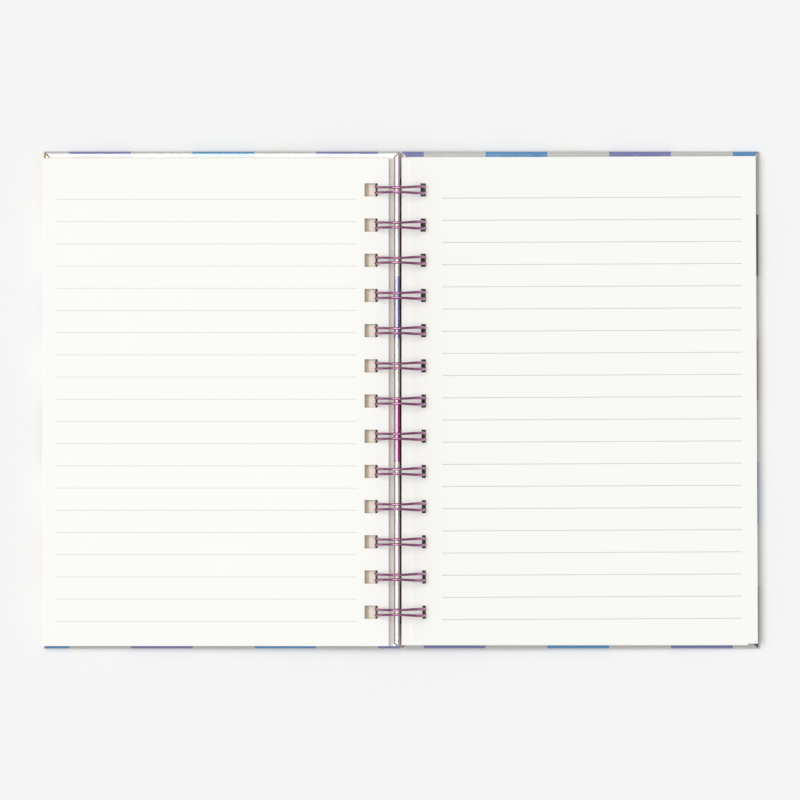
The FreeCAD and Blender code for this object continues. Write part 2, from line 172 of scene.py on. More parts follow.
class NodeDesk:
    """Writes one material's nodes, with short calls for the sums that patterns need."""

    def __init__(self, name: str) -> None:
        """Start an empty material with a shader and an output.

        Args:
            name: The finish that the material is.
        """
        self.material = bpy.data.materials.new(name)
        self.material.use_nodes = True
        self.tree = self.material.node_tree
        self.shader = self.tree.nodes["Principled BSDF"]

    def node(self, kind: str, **settings: object) -> bpy.types.Node:
        """Add a node.

        Args:
            kind: The node's type name.
            **settings: Attributes to set on it.

        Returns:
            The new node.
        """
        node = self.tree.nodes.new(kind)
        for name, value in settings.items():
            setattr(node, name, value)
        return node

    def feed(self, target: Socket, value: float | Triple | Rgba | Socket) -> None:
        """Link a socket into another, or set it to a plain value.

        Args:
            target: The socket that is fed.
            value: A socket, a number or a colour.
        """
        if isinstance(value, Socket):
            self.tree.links.new(value, target)
        else:
            target.default_value = value

    def maths(self, operation: str, *operands: Operand) -> Socket:
        """Return the result of one sum.

        Args:
            operation: Blender's name for the sum.
            *operands: Its numbers or sockets.

        Returns:
            The result's socket.
        """
        node = self.node("ShaderNodeMath", operation=operation)
        for target, value in zip(node.inputs, operands):
            self.feed(target, value)
        return node.outputs[0]

    def product(self, first: Operand, *others: Operand) -> Operand:
        """Return the product of several factors.

        Args:
            first: A number or a socket.
            *others: The numbers or sockets that it is multiplied by.

        Returns:
            The product's socket.
        """
        whole = first
        for factor in others:
            whole = self.maths("MULTIPLY", whole, factor)
        return whole

    def within(self, value: Socket, low: float, high: float) -> Socket:
        """Return 1 where a value lies between two numbers, and 0 elsewhere."""
        above = self.maths("GREATER_THAN", value, low)
        return self.maths("MULTIPLY", above, self.maths("LESS_THAN", value, high))

    def split(self, vector: Socket) -> tuple[Socket, Socket, Socket]:
        """Return the x, y and z of a vector.

        Args:
            vector: The vector's socket.

        Returns:
            The sockets of its three parts.
        """
        parts = self.node("ShaderNodeSeparateXYZ")
        self.feed(parts.inputs[0], vector)
        return parts.outputs[0], parts.outputs[1], parts.outputs[2]

    def place(self) -> tuple[Socket, Socket, Socket]:
        """Return the x, y and z of the surface on the piece."""
        return self.split(self.node("ShaderNodeTexCoord").outputs["Object"])

    def facing(self) -> tuple[Socket, Socket, Socket]:
        """Return the x, y and z of the surface's normal on the piece.

        Returns:
            The sockets of the normal's three parts.
        """
        geometry = self.node("ShaderNodeNewGeometry")
        turned = self.node("ShaderNodeVectorTransform", vector_type="NORMAL",
                           convert_from="WORLD", convert_to="OBJECT")
        self.feed(turned.inputs[0], geometry.outputs["Normal"])
        return self.split(turned.outputs[0])

    def noise(self, scale: float, detail: float = 2.0, stretch: Triple = (1.0, 1.0, 1.0)) -> Socket:
        """Return a noise pattern on the piece.

        Args:
            scale: Blotches per metre.
            detail: How many finer layers it holds.
            stretch: How many times finer it is along x, y and z.

        Returns:
            The noise's factor.
        """
        coordinates = self.node("ShaderNodeTexCoord")
        mapping = self.node("ShaderNodeMapping")
        mapping.inputs["Scale"].default_value = stretch
        self.feed(mapping.inputs["Vector"], coordinates.outputs["Object"])
        noise = self.node("ShaderNodeTexNoise")
        noise.inputs["Scale"].default_value = scale
        noise.inputs["Detail"].default_value = detail
        self.feed(noise.inputs["Vector"], mapping.outputs[0])
        return noise.outputs["Fac"]

    def remap(self, value: Socket, low: float, high: float, new_low: float = 0.0,
              new_high: float = 1.0) -> Socket:
        """Return a value moved from one range to another, held within the new one.

        Args:
            value: What is moved.
            low: Where its range starts.
            high: Where its range ends.
            new_low: What low becomes.
            new_high: What high becomes.

        Returns:
            The moved value's socket.
        """
        node = self.node("ShaderNodeMapRange")
        for name, number in (("Value", value), ("From Min", low), ("From Max", high),
                             ("To Min", new_low), ("To Max", new_high)):
            self.feed(node.inputs[name], number)
        return node.outputs[0]

    def vary(self, pattern: Socket, span: Span) -> Socket:
        """Return a noise pattern stretched to run from one value to another."""
        return self.remap(pattern, NOISE_LOW, NOISE_HIGH, *span)

    def pick_out(self, pattern: Socket, patches: Patches) -> Socket:
        """Return the patches of a noise pattern as a factor."""
        return self.remap(pattern, patches.start, patches.full, 0.0, patches.share)

    def blend(self, factor: Operand, first: Paint, second: Paint, mix: Mix = Mix.COVER) -> Socket:
        """Return two colours mixed.

        Args:
            factor: How much of the second there is.
            first: A colour or a colour socket.
            second: A colour or a colour socket.
            mix: How the second goes over the first.

        Returns:
            The mixed colour's socket.
        """
        node = self.node("ShaderNodeMix", data_type="RGBA", blend_type=mix.value)
        sockets = [socket for socket in node.inputs if socket.enabled]
        for target, value in zip(sockets, (factor, rgba(first), rgba(second))):
            self.feed(target, value)
        return next(socket for socket in node.outputs if socket.enabled)

    def tone(self, paint: Paint, pattern: Socket) -> Socket:
        """Return a colour made lighter and darker by a pattern."""
        return self.blend(1.0, paint, pattern, Mix.TINT)

    def bump(self, pattern: Socket, relief: Relief) -> None:
        """Raise the surface by a pattern, on top of any bump that it already has.

        Args:
            pattern: Where the surface is raised.
            relief: How far, and how strongly that shows.
        """
        node = self.node("ShaderNodeBump")
        node.inputs["Distance"].default_value = relief.height
        node.inputs["Strength"].default_value = relief.strength
        self.feed(node.inputs["Height"], pattern)
        target = self.shader.inputs["Normal"]
        if target.is_linked:
            self.feed(node.inputs["Normal"], target.links[0].from_socket)
        self.feed(target, node.outputs[0])

    def finish(self, colour: Socket, roughness: Operand, rest: dict[str, float]) -> bpy.types.Material:
        """Feed the shader and hand over the material.

        Args:
            colour: The surface's colour.
            roughness: The surface's roughness.
            rest: Plain numbers for other sockets, by the sockets' names.

        Returns:
            The finished material.
        """
        self.feed(self.shader.inputs["Base Color"], colour)
        self.feed(self.shader.inputs["Roughness"], roughness)
        for name, value in rest.items():
            self.shader.inputs[name].default_value = value
        return self.material


def rgba(paint: Paint) -> Rgba | Socket:
    """Return a colour with its fourth number, or a socket as it is.

    Args:
        paint: A colour or a socket.

    Returns:
        What a colour socket takes.
    """
    if isinstance(paint, tuple):
        return (*paint, 1.0)
    return paint


@dataclass(frozen=True)
class PagePaper:
    """Writing paper: faint fibre, ruling on the open faces, and leaf edges at the sides in painted shade.
    """

    name: str
    side: Side
    shaded_steps_below: float
    tint: Colour = (0.94, 0.94, 0.91)
    # Warm beige of the leaf edges and bared rims, partly painted shade; the fibre flecks take it too.
    fibre_and_edge_shade_tint: Colour = (0.98, 0.90, 0.80)
    # Painted shade: the darker tan of the punched hole walls.
    hole_wall_shade_tint: Colour = (0.84, 0.74, 0.59)
    rule_tint: Colour = (0.64, 0.64, 0.66)
    rule_strength: float = 0.8
    rule_pitch: float = 8.016 * MM
    rule_width: float = 0.24 * MM
    first_rule_y: float = -79.9 * MM
    rule_count: int = 20
    rule_near_x: float = 15.6 * MM
    rule_far_x: float = 124.2 * MM
    ruling_turn: float = 0.0
    broken_under: float = 0.55
    faintest_ink: float = 0.55
    underside_depth: float = 0.03 * MM
    # Where the hole walls take their painted shade.
    hole_near_x: float = 5.5 * MM
    hole_far_x: float = 14.0 * MM
    hole_clear_y: float = 5.0 * MM
    fibre_scale: float = 900.0
    mottle_scale: float = 60.0
    streak_scale: float = 130.0
    streak_flattening: float = 70.0
    break_scale: float = 5200.0
    mottle: Patches = Patches(0.35, 0.65, 0.35)
    mottle_shade: float = 0.985
    fibres: Patches = Patches(0.62, 0.75, 0.12)
    streaks: Patches = Patches(0.35, 0.65)
    roughness: Span = (0.82, 0.95)
    relief: Relief = Relief(0.02 * MM, 0.4)
    gloss: float = 0.25

    def ruling(self, desk: NodeDesk) -> Socket:
        """Return where the ruled lines are, from 0 to 1.

        Args:
            desk: The material being written.

        Returns:
            The lines' factor.
        """
        x, y, _ = desk.place()
        level = desk.maths("SUBTRACT", y, desk.maths("MULTIPLY", x, math.tan(self.ruling_turn)))
        steps = desk.maths("DIVIDE", desk.maths("SUBTRACT", level, self.first_rule_y), self.rule_pitch)
        half_width = self.rule_width / self.rule_pitch / 2
        line = desk.remap(desk.maths("PINGPONG", steps, 0.5), half_width * 1.5, half_width * 0.5)
        up_page = desk.within(steps, -0.5, self.rule_count - 0.5)
        across_page = desk.within(desk.maths("ABSOLUTE", x), self.rule_near_x, self.rule_far_x)
        ink = desk.remap(desk.noise(self.break_scale), NOISE_LOW, self.broken_under, self.faintest_ink, 1.0)
        return desk.product(line, up_page, across_page, ink)

    def open_faces(self, desk: NodeDesk) -> Socket:
        """Return where the pile shows the open face of a leaf, above or below, from 0 to 1.

        The rims of the leaves between them, which the slid pile lays bare, count as edges, so that they
        take the edges' colour as painted shade.

        Args:
            desk: The material being written.

        Returns:
            The open faces' factor.
        """
        x, _, z = desk.place()
        _, _, up = desk.facing()
        tilt = SPREAD.tilt(self.side)
        above_lift = desk.maths("MULTIPLY", desk.maths("SUBTRACT", z, SPREAD.cover_lift), math.cos(tilt))
        height = desk.maths("ADD", desk.maths("MULTIPLY", x, math.sin(tilt)), above_lift)
        # Up-facing faces lower than this take the edges' painted shade.
        highest = desk.maths("GREATER_THAN", height, self.shaded_steps_below)
        lowest = desk.maths("LESS_THAN", height, SPREAD.page_base + self.underside_depth)
        above = desk.product(desk.remap(up, LEVEL_FROM, LEVEL_FULL), highest)
        below = desk.product(desk.remap(up, -LEVEL_FROM, -LEVEL_FULL), lowest)
        return desk.maths("ADD", above, below)

    def shaded_hole_walls(self, desk: NodeDesk) -> Socket:
        """Return where the punched edges in the holes are, from 0 to 1; they take painted shade.

        Args:
            desk: The material being written.

        Returns:
            The punched edges' factor.
        """
        x, y, _ = desk.place()
        column = desk.within(desk.maths("ABSOLUTE", x), self.hole_near_x, self.hole_far_x)
        end = SPREAD.page_height / 2 - self.hole_clear_y
        return desk.product(column, desk.maths("LESS_THAN", desk.maths("ABSOLUTE", y), end))

    def open_sheet(self, desk: NodeDesk, fibre: Socket) -> Socket:
        """Return the colour of a leaf's open face.

        Args:
            desk: The material being written.
            fibre: The paper's grain.

        Returns:
            The colour's socket.
        """
        shaded = tuple(channel * self.mottle_shade for channel in self.tint)
        sheet = desk.blend(desk.pick_out(desk.noise(self.mottle_scale), self.mottle), self.tint, shaded)
        sheet = desk.blend(desk.pick_out(fibre, self.fibres), sheet, self.fibre_and_edge_shade_tint)
        return desk.blend(desk.product(self.ruling(desk), self.rule_strength), sheet, self.rule_tint)

    def cut_edges(self, desk: NodeDesk) -> Socket:
        """Return the colour of the leaves' edges and bared rims, streaked leaf by leaf, with painted shade:
        warm beige on the edges and a darker tan on the hole walls.

        Args:
            desk: The material being written.

        Returns:
            The colour's socket.
        """
        streak = desk.noise(self.streak_scale, stretch=(1.0, 1.0, self.streak_flattening))
        # Painted shade: edges and bared rims go warm beige, streaked with the paper's tint.
        edge = desk.blend(desk.pick_out(streak, self.streaks), self.fibre_and_edge_shade_tint, self.tint)
        # Painted shade: the hole walls go darker tan.
        return desk.blend(self.shaded_hole_walls(desk), edge, self.hole_wall_shade_tint)

    def make(self) -> bpy.types.Material:
        """Write the material.

        Returns:
            The material.
        """
        desk = NodeDesk(self.name)
        fibre = desk.noise(self.fibre_scale, detail=6.0)
        colour = desk.blend(self.open_faces(desk), self.cut_edges(desk), self.open_sheet(desk, fibre))
        desk.bump(fibre, self.relief)
        return desk.finish(colour, desk.vary(fibre, self.roughness), {"Specular IOR Level": self.gloss})


@dataclass(frozen=True)
class CheckPrint:
    """Laminated covering paper printed with a plain check of white and six soft colours, its white greyed
    as painted shade and a painted shadow line beside the endpaper.
    """

    name: str
    side: Side
    column_start: float
    square: float = 22.32 * MM
    palette: tuple[Colour, ...] = (
        (0.58, 0.46, 0.52),
        (0.36, 0.24, 0.06),
        (0.17, 0.18, 0.39),
        (0.08, 0.25, 0.49),
        (0.36, 0.03, 0.22),
        (0.03, 0.07, 0.04),
    )
    colours_in_row: int = 2
    # A grey white: the print's white darkened as painted shade.
    shaded_white: Colour = (0.51, 0.51, 0.49)
    ink_scale: float = 2600.0
    ink: Span = (0.94, 1.04)
    mitre_half_width: float = 0.35 * MM
    mitre_core: float = 0.14 * MM
    # A pressed crease beside the endpaper whose dark colour is the painted shadow of the leaf pile; the
    # mitres are dark joints.
    crease_shadow_inset: float = 2.1 * MM
    crease_shadow_half_width: float = 0.42 * MM
    crease_shadow_core: float = 0.14 * MM
    seam_and_shadow_tint: Colour = (0.2, 0.14, 0.19)
    seam_and_shadow_share: float = 0.8
    seam_roughness: float = 0.6
    seam_relief: Relief = Relief(-0.15 * MM, 0.8)
    smear_scale: float = 220.0
    roughness: Span = (0.05, 0.13)
    dent_scale: float = 160.0
    dents: Relief = Relief(0.02 * MM, 0.5)
    refraction: float = 1.6
    gloss: float = 0.95

    def seams(self, desk: NodeDesk, x_margin: Socket, y_margin: Socket, by_side: Socket) -> Socket:
        """Return where a mitre or the pressed crease beside the endpaper runs, from 0 to 1; the crease
        carries the painted shadow of the leaf pile.

        Args:
            desk: The material being written.
            x_margin: How far a point lies inside the cover's gutter or outer edge.
            y_margin: How far it lies inside the head or the foot.
            by_side: Whether the gutter or outer edge is the nearer one.

        Returns:
            The seams' factor.
        """
        gap = desk.maths("ABSOLUTE", desk.maths("SUBTRACT", x_margin, y_margin))
        mitre = desk.remap(gap, self.mitre_half_width, self.mitre_core)
        past_crease = desk.maths("ABSOLUTE", desk.maths("SUBTRACT", x_margin, self.crease_shadow_inset))
        crease = desk.remap(past_crease, self.crease_shadow_half_width, self.crease_shadow_core)
        return desk.maths("MAXIMUM", mitre, desk.product(crease, by_side))

    @staticmethod
    def fold_out(desk: NodeDesk, from_middle: Socket, margin: Socket, turned_in: Socket) -> Socket:
        """Return how far along one axis a point moves when its turn-in is folded out again.

        Args:
            desk: The material being written.
            from_middle: Where the point lies along the axis, from the cover's middle.
            margin: How far it lies inside the cover's edge.
            turned_in: Whether a turn-in over that edge covers the point.

        Returns:
            The move's socket.
        """
        outward = desk.maths("ADD", desk.product(margin, 2.0), SPREAD.cover_thickness)
        return desk.product(desk.maths("SIGN", from_middle), outward, turned_in)

    def unfolded_place(self, desk: NodeDesk) -> tuple[Socket, Socket, Socket]:
        """Return where a point lies on the flat print, with the turn-ins folded out again.

        Args:
            desk: The material being written.

        Returns:
            The print's x and y, and where the turn-ins have a mitre seam or the crease with its painted
            shadow, from 0 to 1.
        """
        x, y, _ = desk.place()
        _, _, up = desk.facing()
        gutter, outer = SPREAD.gutter_edge(self.side), SPREAD.outer_edge(self.side)
        from_middle = desk.maths("SUBTRACT", x, (gutter + outer) / 2)
        x_margin = desk.maths("SUBTRACT", abs(outer - gutter) / 2, desk.maths("ABSOLUTE", from_middle))
        y_margin = desk.maths("SUBTRACT", SPREAD.cover_half_height, desk.maths("ABSOLUTE", y))
        inner = desk.maths("GREATER_THAN", up, FACING_UP)
        by_side = desk.maths("LESS_THAN", x_margin, y_margin)
        by_end = desk.maths("SUBTRACT", 1.0, by_side)
        x_step = self.fold_out(desk, from_middle, x_margin, desk.product(inner, by_side))
        y_step = self.fold_out(desk, y, y_margin, desk.product(inner, by_end))
        seam = desk.product(self.seams(desk, x_margin, y_margin, by_side), inner)
        return desk.maths("ADD", x, x_step), desk.maths("ADD", y, y_step), seam

    def colour_of_square(self, desk: NodeDesk, column: Socket, row: Socket) -> Socket:
        """Return the colour of a coloured square.

        Each row takes one pair of the palette, and every second square of it is coloured,
        with the pair's two colours in turn.

        Args:
            desk: The material being written.
            column: The square's whole number across.
            row: The square's whole number up.

        Returns:
            The colour's socket.
        """
        pairs = len(self.palette) / self.colours_in_row
        pair = desk.maths("FLOORED_MODULO", row, pairs)
        coloured_before = desk.maths("FLOOR", desk.maths("DIVIDE", column, 2.0))
        turn = desk.maths("FLOORED_MODULO", coloured_before, float(self.colours_in_row))
        index = desk.maths("ADD", desk.product(pair, float(self.colours_in_row)), turn)
        place = desk.maths("DIVIDE", desk.maths("ADD", index, 0.5), float(len(self.palette)))
        ramp = desk.node("ShaderNodeValToRGB")
        ramp.color_ramp.interpolation = "CONSTANT"
        stops = ramp.color_ramp.elements
        while len(stops) < len(self.palette):
            stops.new(0.5)
        for number, colour in enumerate(self.palette):
            stops[number].position = number / len(self.palette)
            stops[number].color = rgba(colour)
        desk.feed(ramp.inputs[0], place)
        return ramp.outputs[0]

    def check(self, desk: NodeDesk, print_x: Socket, print_y: Socket) -> Socket:
        """Return the colour of the check at a place on the flat print.

        Args:
            desk: The material being written.
            print_x: The place across the print.
            print_y: The place up the print.

        Returns:
            The colour's socket.
        """
        shifted = desk.maths("SUBTRACT", print_x, self.column_start)
        column = desk.maths("FLOOR", desk.maths("DIVIDE", shifted, self.square))
        row = desk.maths("FLOOR", desk.maths("DIVIDE", print_y, self.square))
        odd = desk.maths("FLOORED_MODULO", desk.maths("ADD", column, row), 2.0)
        coloured = desk.maths("SUBTRACT", 1.0, odd)
        # The white squares take the greyed white, as painted shade.
        squares = desk.blend(coloured, self.shaded_white, self.colour_of_square(desk, column, row))
        return desk.tone(squares, desk.vary(desk.noise(self.ink_scale), self.ink))

    def make(self) -> bpy.types.Material:
        """Write the material.

        Returns:
            The material.
        """
        desk = NodeDesk(self.name)
        print_x, print_y, seam = self.unfolded_place(desk)
        printed = self.check(desk, print_x, print_y)
        # Darkens the mitres as joints and the crease line as painted shadow of the leaf pile.
        worn = desk.blend(desk.product(seam, self.seam_and_shadow_share), printed, self.seam_and_shadow_tint)
        smear = desk.vary(desk.noise(self.smear_scale, detail=3.0), self.roughness)
        dulled = desk.maths("MAXIMUM", smear, desk.product(seam, self.seam_roughness))
        desk.bump(desk.noise(self.dent_scale), self.dents)
        desk.bump(seam, self.seam_relief)
        return desk.finish(worn, dulled, {"IOR": self.refraction, "Specular IOR Level": self.gloss})


@dataclass(frozen=True)
class PlainStock:
    """Greyboard or endpaper: fibrous stock with flecks."""

    name: str
    tint: Colour
    fleck_tint: Colour
    flecks: Patches
    fibre_scale: float
    fleck_fineness: float = 2.2
    cloud_scale: float = 45.0
    clouds: Span = (0.98, 1.01)
    roughness: Span = (0.75, 0.95)
    relief: Relief = Relief(0.04 * MM, 0.5)
    gloss: float = 0.3

    def make(self) -> bpy.types.Material:
        """Write the material.

        Returns:
            The material.
        """
        desk = NodeDesk(self.name)
        fibre = desk.noise(self.fibre_scale, detail=6.0)
        fleck = desk.pick_out(desk.noise(self.fibre_scale * self.fleck_fineness), self.flecks)
        flecked = desk.blend(fleck, self.tint, self.fleck_tint)
        colour = desk.tone(flecked, desk.vary(desk.noise(self.cloud_scale), self.clouds))
        desk.bump(fibre, self.relief)
        return desk.finish(colour, desk.vary(fibre, self.roughness), {"Specular IOR Level": self.gloss})


@dataclass(frozen=True)
class MauveMetal:
    """Mauve metallic coating on drawn wire, a little worn in patches."""

    name: str = "mauve_metal"
    tint: Colour = (0.38, 0.15, 0.28)
    worn_tint: Colour = (0.66, 0.42, 0.52)
    wear_scale: float = 260.0
    wear: Patches = Patches(0.52, 0.74, 0.4)
    grain_scale: float = 1800.0
    roughness: Span = (0.16, 0.3)
    relief: Relief = Relief(0.01 * MM, 0.4)
    metallic: float = 0.95

    def make(self) -> bpy.types.Material:
        """Write the material.

        Returns:
            The material.
        """
        desk = NodeDesk(self.name)
        grain = desk.noise(self.grain_scale, detail=4.0)
        worn = desk.pick_out(desk.noise(self.wear_scale, detail=3.0), self.wear)
        colour = desk.blend(worn, self.tint, self.worn_tint)
        desk.bump(grain, self.relief)
        return desk.finish(colour, desk.vary(grain, self.roughness), {"Metallic": self.metallic})


@dataclass(frozen=True)
class TableTop:
    """Pale matt table, with the faintest mottle."""

    name: str = "pale_table"
    tint: Colour = (0.89, 0.89, 0.89)
    mottle_scale: float = 12.0
    mottle: Span = (0.995, 1.005)
    roughness: float = 0.9
    gloss: float = 0.1

    def make(self) -> bpy.types.Material:
        """Write the material.

        Returns:
            The material.
        """
        desk = NodeDesk(self.name)
        colour = desk.tone(self.tint, desk.vary(desk.noise(self.mottle_scale), self.mottle))
        return desk.finish(colour, self.roughness, {"Specular IOR Level": self.gloss})


class Bench:
    """The modelling steps that the pieces share."""

    @staticmethod
    def clear() -> None:
        """Leave edit mode and select nothing."""
        if bpy.context.object and bpy.context.object.mode != "OBJECT":
            bpy.ops.object.mode_set(mode="OBJECT")
        bpy.ops.object.select_all(action="DESELECT")

    @staticmethod
    def pick(*things: bpy.types.Object) -> None:
        """Select these objects alone, with the first one active.

        Args:
            *things: The objects.
        """
        Bench.clear()
        for thing in things:
            thing.select_set(True)
        bpy.context.view_layer.objects.active = things[0]

    @staticmethod
    def block(low: Vector, high: Vector) -> bpy.types.Object:
        """Add a block between two corners.

        Args:
            low: Its lowest corner.
            high: Its highest corner.

        Returns:
            The block, with its place in its mesh.
        """
        Bench.clear()
        bpy.ops.mesh.primitive_cube_add(size=1.0, location=(low + high) / 2)
        block = bpy.context.object
        block.scale = high - low
        bpy.ops.object.transform_apply(location=True, rotation=True, scale=True)
        return block

    @staticmethod
    def copy(thing: bpy.types.Object, shift: Vector) -> bpy.types.Object:
        """Copy an object with a mesh of its own, and move the copy's mesh.

        Args:
            thing: The object that is copied.
            shift: How far the copy's mesh moves.

        Returns:
            The copy.
        """
        twin = thing.copy()
        twin.data = thing.data.copy()
        bpy.context.collection.objects.link(twin)
        twin.data.transform(Matrix.Translation(shift))
        return twin

    @staticmethod
    def join(things: list[bpy.types.Object], name: str) -> bpy.types.Object:
        """Join objects into the first one and name it.

        Args:
            things: The objects.
            name: The whole's name.

        Returns:
            The whole.
        """
        Bench.pick(*things)
        bpy.ops.object.join()
        whole = bpy.context.object
        whole.name = name
        whole.data.name = name
        return whole

    @staticmethod
    def cut(thing: bpy.types.Object, cutter: bpy.types.Object) -> None:
        """Cut one object out of another and remove the cutter.

        Args:
            thing: The object that is cut.
            cutter: The object that is cut out of it.
        """
        Bench.pick(thing)
        modifier = thing.modifiers.new("cut", "BOOLEAN")
        modifier.operation = "DIFFERENCE"
        modifier.solver = "EXACT"
        modifier.object = cutter
        bpy.ops.object.modifier_apply(modifier=modifier.name)
        bpy.data.objects.remove(cutter)

    @staticmethod
    def dress(thing: bpy.types.Object, material: bpy.types.Material) -> None:
        """Give an object one material all over."""
        thing.data.materials.clear()
        thing.data.materials.append(material)


@dataclass
class Cover:
    """One stiff cover: greyboard, printed covering paper and endpaper."""

    side: Side
    word: str
    print_start: float

    def stocks(self) -> dict[str, CheckPrint | PlainStock]:
        """Return the finish of each of the cover's solids, by the solid's own word.

        Returns:
            The finishes of the covering paper, the board and the endpaper.
        """
        board = PlainStock(f"{self.word}_greyboard", tint=(0.42, 0.37, 0.31), fleck_tint=(0.24, 0.2, 0.17),
                           flecks=Patches(0.6, 0.72, 0.6), fibre_scale=700.0)
        lining = PlainStock(f"{self.word}_endpaper", tint=(0.92, 0.86, 0.78), fleck_tint=(0.8, 0.7, 0.62),
                            flecks=Patches(0.6, 0.72, 0.2), fibre_scale=900.0)
        wrap = CheckPrint(f"{self.word}_check_print", self.side, self.print_start)
        return {"cover_wrap": wrap, "board": board, "endpaper": lining}

    def build(self, nodes: dict[str, bpy.types.Object]) -> None:
        """Dress the cover's three solids.

        Args:
            nodes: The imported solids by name.
        """
        for part, finish in self.stocks().items():
            Bench.dress(nodes[f"{self.word}_{part}"], finish.make())
        LOG.info("%s cover dressed", self.word)


@dataclass
class LeafPile:
    """The leaves of one side, cut and punched one by one and stacked as the rings leave them."""

    name: str
    side: Side
    body: str
    leaf_count: int
    stack: float
    gutter: float
    shear: float
    middle_y: float
    leaf_share: float = 0.9
    stray: float = 0.06 * MM
    loose_leaves: int = 0
    loose_stack: float = 0.25 * MM
    loose_slide: float = 3.15 * MM
    loose_turn: float = math.radians(0.25)
    seed: int = 7

    def leaf(self, thickness: float) -> bpy.types.Object:
        """Cut one leaf, lying flat with its gutter edge at x = 0, and punch its holes.

        Args:
            thickness: How thick the leaf is.

        Returns:
            The leaf.
        """
        out = self.side.value
        half = SPREAD.page_height / 2
        low_x, high_x = sorted((0.0, out * SPREAD.page_width))
        low = Vector((low_x, self.middle_y - half, 0.0))
        high = Vector((high_x, self.middle_y + half, thickness))
        leaf = Bench.block(low, high)
        near, size = SPREAD.page_hole_margin, SPREAD.hole_size
        hole_low_x, hole_high_x = sorted((out * near, out * (near + size)))
        punches = []
        for y in SPREAD.loop_ys():
            punch_low = Vector((hole_low_x, y - size / 2, -thickness))
            punch_high = Vector((hole_high_x, y + size / 2, 2 * thickness))
            punches.append(Bench.block(punch_low, punch_high))
        Bench.cut(leaf, Bench.join(punches, "punch"))
        return leaf

    def slide_at(self, height: float) -> float:
        """Return how far outward the rings have pushed the leaf at this height in the pile.

        Args:
            height: The leaf's height in the pile.

        Returns:
            Its slide, along an arc that is steepest at the foot of the pile.
        """
        if self.shear == 0.0:
            return 0.0
        radius = (self.shear**2 + self.stack**2) / (2 * self.shear)
        below_top = self.stack - height
        return self.shear - (radius - math.sqrt(radius**2 - below_top**2))

    def stacked(self) -> list[bpy.types.Object]:
        """Stack copies of one leaf, each a little astray.

        Returns:
            The stacked leaves, from the lowest up.
        """
        chance = random.Random(self.seed)
        step = self.stack / self.leaf_count
        pattern = self.leaf(step * self.leaf_share)
        leaves = []
        for index in range(self.leaf_count):
            stray = chance.uniform(-self.stray, self.stray)
            slide = self.gutter + self.slide_at((index + 0.5) * step) + stray
            along = chance.uniform(-self.stray, self.stray)
            shift = Vector((self.side.value * slide, along, SPREAD.page_base + index * step))
            leaves.append(Bench.copy(pattern, shift))
        bpy.data.objects.remove(pattern)
        return leaves

    def loose(self) -> list[bpy.types.Object]:
        """Lay the slid and turned top leaves on the pile.

        Returns:
            The loose leaves, if the pile has any.
        """
        if not self.loose_leaves:
            return []
        step = self.loose_stack / self.loose_leaves
        pattern = self.leaf(step * self.leaf_share)
        leaves = []
        for index in range(self.loose_leaves):
            base = SPREAD.page_base + self.stack + index * step
            shift = Vector((self.side.value * (self.gutter + self.loose_slide), 0.0, base))
            leaf = Bench.copy(pattern, shift)
            leaf.data.transform(Matrix.Rotation(self.loose_turn, 4, "Z"))
            leaves.append(leaf)
        bpy.data.objects.remove(pattern)
        return leaves

    def build(self, paper: PagePaper) -> bpy.types.Object:
        """Build the pile in its cover's plane and dress it.

        Args:
            paper: The finish of its leaves.

        Returns:
            The pile.
        """
        pile = Bench.join(self.stacked() + self.loose(), f"{self.name}_leaves")
        pile.data.transform(SPREAD.lay_matrix(self.side))
        Bench.dress(pile, paper.make())
        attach(pile, self.body)
        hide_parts(self.name)
        LOG.info("%s: %d leaves", self.name, self.leaf_count + self.loose_leaves)
        return pile


